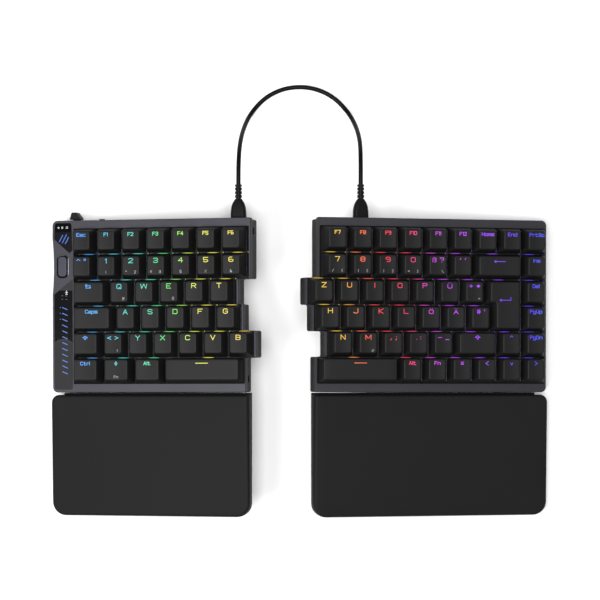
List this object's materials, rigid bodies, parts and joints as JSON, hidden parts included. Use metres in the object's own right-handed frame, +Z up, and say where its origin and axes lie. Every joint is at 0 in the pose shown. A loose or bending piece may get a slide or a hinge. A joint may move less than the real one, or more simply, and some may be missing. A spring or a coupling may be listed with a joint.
{
  "type": "ergonomic split keyboard",
  "caption": "Ergonomic split keyboard in two tented halves with staggered keys, palm rests, fold-out legs and a link cable behind.",
  "frame": {"origin": "centre of the footprint on the desk, link cable and plugs left out", "axes": "+X to the user's right, +Y away from the user, +Z up"},
  "size_m": [0.366, 0.3191, 0.072],
  "materials": {
    "case_plastic": "fine moulded texture",
    "frame_metal": "blasted and anodised dark grey",
    "plate_steel": "black coated",
    "board": "black solder mask",
    "silicone": "soft sheet",
    "switch_plastic": "milky",
    "screw_steel": "black oxide",
    "socket_steel": "drawn",
    "rubber": "moulded",
    "leg_plastic": "moulded",
    "palm_base_plastic": "moulded",
    "palm_skin": "soft matte silicone",
    "magnet": "plated",
    "plug_rubber": "moulded",
    "cable_jacket": "smooth jacket",
    "battery_foil": "foil pouch",
    "window_gloss": "polished",
    "strip_gloss": "polished",
    "button_plastic": "satin",
    "lever_plastic": "moulded",
    "keycap": "fine textured"
  },
  "bodies": {
    "left_half": {"left_bottom_case": "case_plastic", "left_top_frame": "frame_metal", "left_switch_plate": "plate_steel", "left_circuit_board": "board", "left_damper": "silicone", "left_switches": "switch_plastic", "left_case_screws": "screw_steel", "left_link_socket": "socket_steel", "left_rubber_feet": "rubber", "left_battery": "battery_foil", "left_status_window": "window_gloss", "left_touch_strip": "strip_gloss", "left_plug": "plug_rubber", "link_cable": "cable_jacket"},
    "right_half": {"right_bottom_case": "case_plastic", "right_top_frame": "frame_metal", "right_switch_plate": "plate_steel", "right_circuit_board": "board", "right_damper": "silicone", "right_switches": "switch_plastic", "right_case_screws": "screw_steel", "right_link_socket": "socket_steel", "right_rubber_feet": "rubber", "right_plug": "plug_rubber"},
    "left_palm_rest": {"left_palm_base": "palm_base_plastic", "left_palm_pad": "palm_skin", "left_palm_magnets": "magnet"},
    "left_stand": {"left_tent_leg": "leg_plastic"},
    "left_palm_stand": {"left_palm_leg": "leg_plastic"},
    "right_palm_rest": {"right_palm_base": "palm_base_plastic", "right_palm_pad": "palm_skin", "right_palm_magnets": "magnet"},
    "right_stand": {"right_tent_leg": "leg_plastic"},
    "right_palm_stand": {"right_palm_leg": "leg_plastic"},
    "left_function_row_body": {"left_function_row": "keycap"},
    "left_number_row_body": {"left_number_row": "keycap"},
    "left_tab_key_body": {"left_tab_key": "keycap"},
    "left_upper_row_body": {"left_upper_row": "keycap"},
    "left_caps_key_body": {"left_caps_key": "keycap"},
    "left_home_row_body": {"left_home_row": "keycap"},
    "left_shift_key_body": {"left_shift_key": "keycap"},
    "left_lower_row_body": {"left_lower_row": "keycap"},
    "left_modifier_keys_body": {"left_modifier_keys": "keycap"},
    "left_space_bar_body": {"left_space_bar": "keycap"},
    "right_function_row_body": {"right_function_row": "keycap"},
    "right_number_row_body": {"right_number_row": "keycap"},
    "right_backspace_key_body": {"right_backspace_key": "keycap"},
    "right_upper_row_body": {"right_upper_row": "keycap"},
    "right_home_row_body": {"right_home_row": "keycap"},
    "right_lower_row_body": {"right_lower_row": "keycap"},
    "right_shift_key_body": {"right_shift_key": "keycap"},
    "right_space_bar_body": {"right_space_bar": "keycap"},
    "right_modifier_keys_body": {"right_modifier_keys": "keycap"},
    "right_arrow_keys_body": {"right_arrow_keys": "keycap"},
    "right_navigation_keys_body": {"right_navigation_keys": "keycap"},
    "right_enter_key_body": {"right_enter_key": "keycap"},
    "function_button": {"left_function_button": "button_plastic"},
    "rear_lever": {"left_rear_lever": "lever_plastic"},
    "mode_switch": {"left_mode_switch": "lever_plastic"}
  },
  "joints": [
    {"name": "halves_spread", "type": "slide", "parent": "left_half", "child": "right_half", "axis": [1, 0, 0], "range_m": [-0.02, 0.05], "deforming": ["link_cable"]},
    {"name": "left_palm_rest_pull", "type": "slide", "parent": "left_half", "child": "left_palm_rest", "axis": [0, -1, 0], "range_m": [0, 0.03]},
    {"name": "left_stand_fold", "type": "hinge", "parent": "left_half", "child": "left_stand", "pos_m": [-0.0636, 0.042, 0.03012], "axis": [0, 1, 0], "range_deg": [0, 90]},
    {"name": "left_palm_stand_fold", "type": "hinge", "parent": "left_palm_rest", "child": "left_palm_stand", "pos_m": [-0.06957, -0.06735, 0.02846], "axis": [0, 1, 0], "range_deg": [0, 90]},
    {"name": "right_palm_rest_pull", "type": "slide", "parent": "right_half", "child": "right_palm_rest", "axis": [0, -1, 0], "range_m": [0, 0.03]},
    {"name": "right_stand_fold", "type": "hinge", "parent": "right_half", "child": "right_stand", "pos_m": [0.0636, 0.042, 0.03012], "axis": [0, -1, 0], "range_deg": [0, 90]},
    {"name": "right_palm_stand_fold", "type": "hinge", "parent": "right_palm_rest", "child": "right_palm_stand", "pos_m": [0.06957, -0.06735, 0.02846], "axis": [0, -1, 0], "range_deg": [0, 90]},
    {"name": "left_function_row_travel", "type": "slide", "parent": "left_half", "child": "left_function_row_body", "axis": [0.2672, 0.0175, -0.9635], "range_m": [0, 0.0035], "stiffness_N_per_m": 490, "springref_m": -0.005},
    {"name": "left_number_row_travel", "type": "slide", "parent": "left_half", "child": "left_number_row_body", "axis": [0.2672, 0.0175, -0.9635], "range_m": [0, 0.0035], "stiffness_N_per_m": 490, "springref_m": -0.005},
    {"name": "left_tab_key_travel", "type": "slide", "parent": "left_half", "child": "left_tab_key_body", "axis": [0.2672, 0.0175, -0.9635], "range_m": [0, 0.0035], "stiffness_N_per_m": 70, "springref_m": -0.005},
    {"name": "left_upper_row_travel", "type": "slide", "parent": "left_half", "child": "left_upper_row_body", "axis": [0.2672, 0.0175, -0.9635], "range_m": [0, 0.0035], "stiffness_N_per_m": 350, "springref_m": -0.005},
    {"name": "left_caps_key_travel", "type": "slide", "parent": "left_half", "child": "left_caps_key_body", "axis": [0.2672, 0.0175, -0.9635], "range_m": [0, 0.0035], "stiffness_N_per_m": 70, "springref_m": -0.005},
    {"name": "left_home_row_travel", "type": "slide", "parent": "left_half", "child": "left_home_row_body", "axis": [0.2672, 0.0175, -0.9635], "range_m": [0, 0.0035], "stiffness_N_per_m": 350, "springref_m": -0.005},
    {"name": "left_shift_key_travel", "type": "slide", "parent": "left_half", "child": "left_shift_key_body", "axis": [0.2672, 0.0175, -0.9635], "range_m": [0, 0.0035], "stiffness_N_per_m": 70, "springref_m": -0.005},
    {"name": "left_lower_row_travel", "type": "slide", "parent": "left_half", "child": "left_lower_row_body", "axis": [0.2672, 0.0175, -0.9635], "range_m": [0, 0.0035], "stiffness_N_per_m": 420, "springref_m": -0.005},
    {"name": "left_modifier_keys_travel", "type": "slide", "parent": "left_half", "child": "left_modifier_keys_body", "axis": [0.2672, 0.0175, -0.9635], "range_m": [0, 0.0035], "stiffness_N_per_m": 210, "springref_m": -0.005},
    {"name": "left_space_bar_travel", "type": "slide", "parent": "left_half", "child": "left_space_bar_body", "axis": [0.2672, 0.0175, -0.9635], "range_m": [0, 0.0035], "stiffness_N_per_m": 70, "springref_m": -0.005},
    {"name": "right_function_row_travel", "type": "slide", "parent": "right_half", "child": "right_function_row_body", "axis": [-0.2672, 0.0175, -0.9635], "range_m": [0, 0.0035], "stiffness_N_per_m": 630, "springref_m": -0.005},
    {"name": "right_number_row_travel", "type": "slide", "parent": "right_half", "child": "right_number_row_body", "axis": [-0.2672, 0.0175, -0.9635], "range_m": [0, 0.0035], "stiffness_N_per_m": 420, "springref_m": -0.005},
    {"name": "right_backspace_key_travel", "type": "slide", "parent": "right_half", "child": "right_backspace_key_body", "axis": [-0.2672, 0.0175, -0.9635], "range_m": [0, 0.0035], "stiffness_N_per_m": 70, "springref_m": -0.005},
    {"name": "right_upper_row_travel", "type": "slide", "parent": "right_half", "child": "right_upper_row_body", "axis": [-0.2672, 0.0175, -0.9635], "range_m": [0, 0.0035], "stiffness_N_per_m": 490, "springref_m": -0.005},
    {"name": "right_home_row_travel", "type": "slide", "parent": "right_half", "child": "right_home_row_body", "axis": [-0.2672, 0.0175, -0.9635], "range_m": [0, 0.0035], "stiffness_N_per_m": 490, "springref_m": -0.005},
    {"name": "right_lower_row_travel", "type": "slide", "parent": "right_half", "child": "right_lower_row_body", "axis": [-0.2672, 0.0175, -0.9635], "range_m": [0, 0.0035], "stiffness_N_per_m": 350, "springref_m": -0.005},
    {"name": "right_shift_key_travel", "type": "slide", "parent": "right_half", "child": "right_shift_key_body", "axis": [-0.2672, 0.0175, -0.9635], "range_m": [0, 0.0035], "stiffness_N_per_m": 70, "springref_m": -0.005},
    {"name": "right_space_bar_travel", "type": "slide", "parent": "right_half", "child": "right_space_bar_body", "axis": [-0.2672, 0.0175, -0.9635], "range_m": [0, 0.0035], "stiffness_N_per_m": 70, "springref_m": -0.005},
    {"name": "right_modifier_keys_travel", "type": "slide", "parent": "right_half", "child": "right_modifier_keys_body", "axis": [-0.2672, 0.0175, -0.9635], "range_m": [0, 0.0035], "stiffness_N_per_m": 210, "springref_m": -0.005},
    {"name": "right_arrow_keys_travel", "type": "slide", "parent": "right_half", "child": "right_arrow_keys_body", "axis": [-0.2672, 0.0175, -0.9635], "range_m": [0, 0.0035], "stiffness_N_per_m": 280, "springref_m": -0.005},
    {"name": "right_navigation_keys_travel", "type": "slide", "parent": "right_half", "child": "right_navigation_keys_body", "axis": [-0.2672, 0.0175, -0.9635], "range_m": [0, 0.0035], "stiffness_N_per_m": 280, "springref_m": -0.005},
    {"name": "right_enter_key_travel", "type": "slide", "parent": "right_half", "child": "right_enter_key_body", "axis": [-0.2672, 0.0175, -0.9635], "range_m": [0, 0.0035], "stiffness_N_per_m": 70, "springref_m": -0.005},
    {"name": "function_button_push", "type": "slide", "parent": "left_half", "child": "function_button", "axis": [0.2672, 0.0175, -0.9635], "range_m": [0, 0.0005], "stiffness_N_per_m": 1500, "springref_m": -0.0005},
    {"name": "rear_lever_flick", "type": "hinge", "parent": "left_half", "child": "rear_lever", "pos_m": [-0.16435, 0.10079, 0.01175], "axis": [-0.2672, -0.0175, 0.9635], "range_deg": [-6, 6], "stiffness_Nm_per_rad": 0.05},
    {"name": "mode_switch_slide", "type": "slide", "parent": "left_half", "child": "mode_switch", "axis": [0.9636, 0, 0.2672], "range_m": [-0.0015, 0.0015]}
  ]
}
